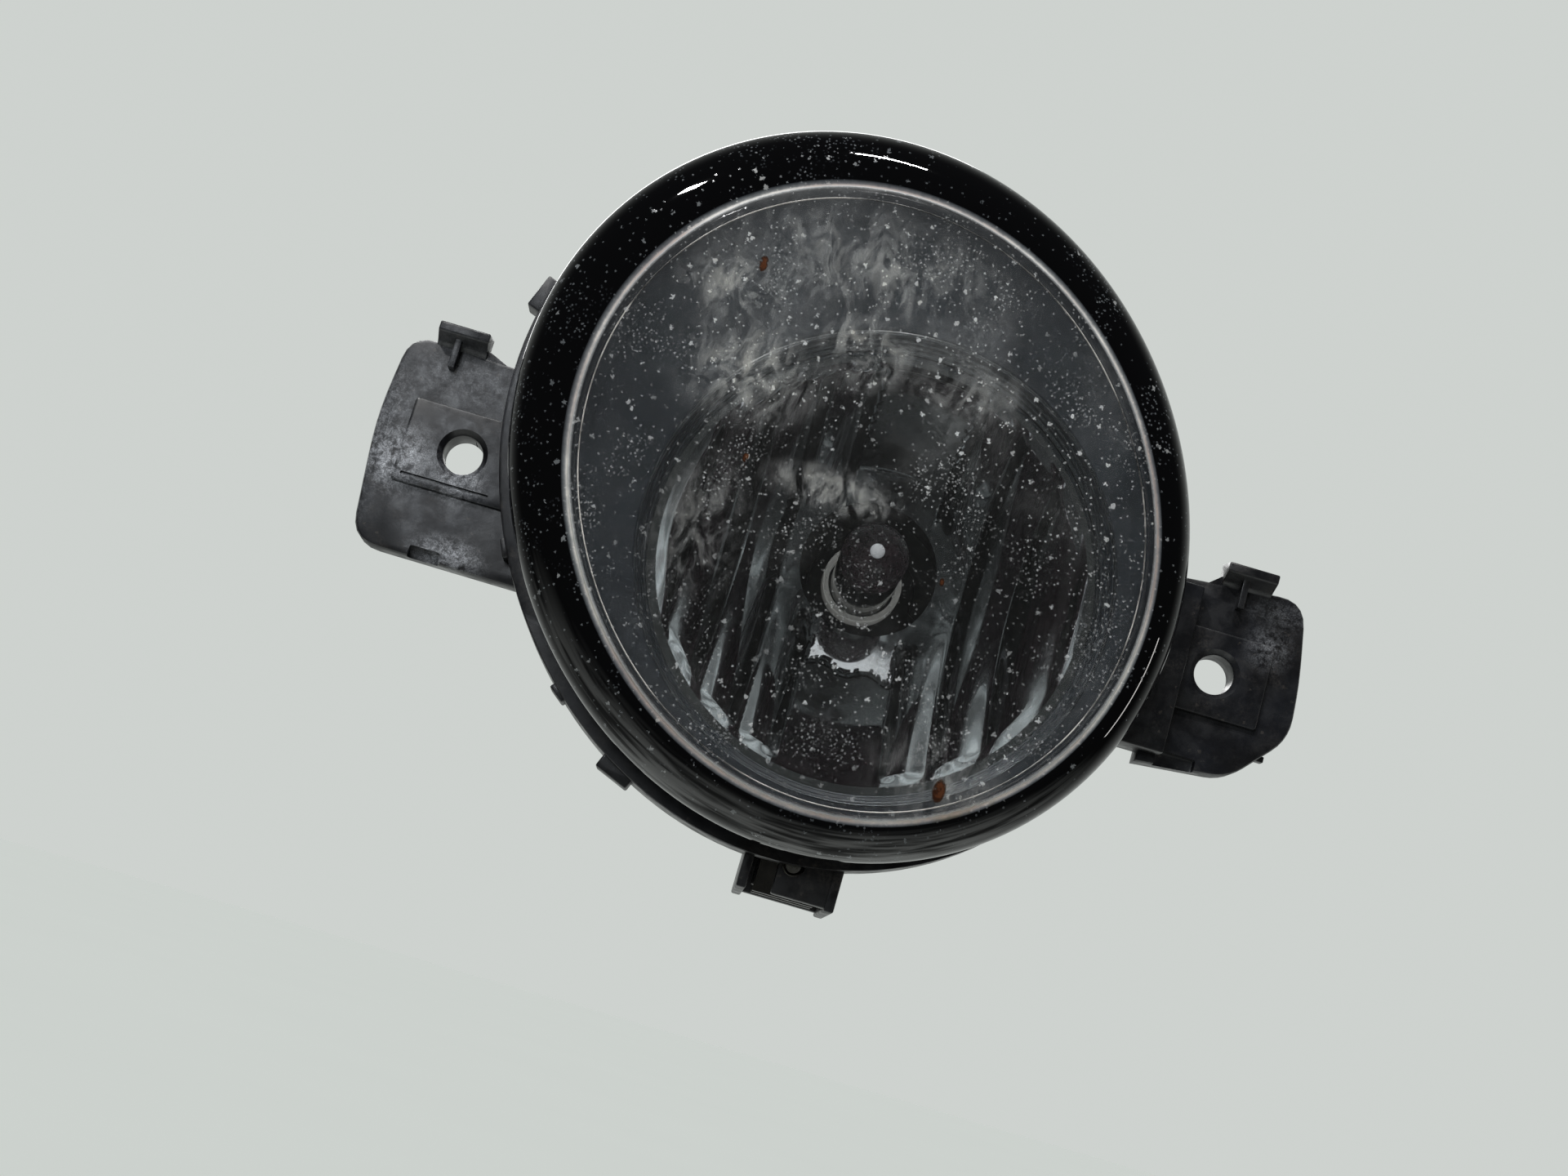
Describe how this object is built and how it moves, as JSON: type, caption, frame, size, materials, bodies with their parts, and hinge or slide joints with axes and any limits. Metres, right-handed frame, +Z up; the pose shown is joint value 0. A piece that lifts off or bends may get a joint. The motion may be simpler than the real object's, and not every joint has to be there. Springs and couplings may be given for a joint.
{
  "type": "fog light",
  "caption": "Oval car fog light: a sealed lamp unit with a replaceable bulb, tilting in a fixed frame with two screw ears and an aim screw.",
  "frame": {"origin": "on the bulb's axis, in the plane in which the two ears' rear seats rest against the car", "axes": "+X to the right as seen from the front, +Y backwards along the bulb's axis, +Z up; the lens faces -Y"},
  "size_m": [0.1555, 0.092, 0.1208],
  "materials": {
    "clear_lens": "clear moulded lens, black behind the rim, dusty and weathered",
    "dark_bezel": "fine matt mask",
    "bright_reflector": "metallised and fluted",
    "housing_black": "moulded, slightly worn",
    "frame_black": "moulded, worn to a grey sheen on the ears",
    "black_rubber": "soft matt rubber",
    "dark_nylon": "dark nylon",
    "zinc_steel": "zinc plated",
    "bulb_glass": "clear bulb glass with a black cap",
    "tungsten": "drawn wire",
    "grey_collar": "light grey collar",
    "bulb_base_black": "glass-filled plastic",
    "tinned_brass": "tinned contact blades"
  },
  "bodies": {
    "frame": {"mounting_frame": "frame_black", "pivot_pin_left": "zinc_steel", "pivot_pin_right": "zinc_steel"},
    "lamp_unit": {"lens": "clear_lens", "lens_seal": "black_rubber", "bezel": "dark_bezel", "reflector": "bright_reflector", "housing": "housing_black", "vent_cap": "black_rubber", "pivot_bush_left": "dark_nylon", "pivot_bush_right": "dark_nylon", "reflector_screw_1": "zinc_steel", "reflector_screw_2": "zinc_steel", "reflector_screw_3": "zinc_steel"},
    "nut": {"adjuster_nut": "dark_nylon"},
    "screw": {"adjusting_screw": "zinc_steel", "screw_clip": "zinc_steel"},
    "bulb": {"bulb_glass": "bulb_glass", "filament": "tungsten", "bulb_collar": "grey_collar", "bulb_base": "bulb_base_black", "bulb_seal": "black_rubber", "terminal_1": "tinned_brass", "terminal_2": "tinned_brass"}
  },
  "joints": [
    {"name": "lamp_tilt", "type": "hinge", "parent": "frame", "child": "lamp_unit", "pos_m": [-0.0005, -0.005, -0.0069], "axis": [1, 0, 0], "range_deg": [-3, 3]},
    {"name": "nut_travel", "type": "slide", "parent": "frame", "child": "nut", "axis": [0, 1, 0], "range_m": [-0.00243, 0.00243]},
    {"name": "screw_turn", "type": "hinge", "parent": "frame", "child": "screw", "pos_m": [0.0007, 0, -0.053], "axis": [0, 1, 0], "range_deg": [-436, 436]},
    {"name": "bulb_twist", "type": "hinge", "parent": "lamp_unit", "child": "bulb", "pos_m": [0, 0.036, 0], "axis": [0, 1, 0], "range_deg": [0, 45]}
  ],
  "couplings": [
    {"joint": "nut_travel", "follows": "lamp_tilt", "m_per_rad": 0.0461},
    {"joint": "screw_turn", "follows": "lamp_tilt", "ratio": -144.8}
  ]
}
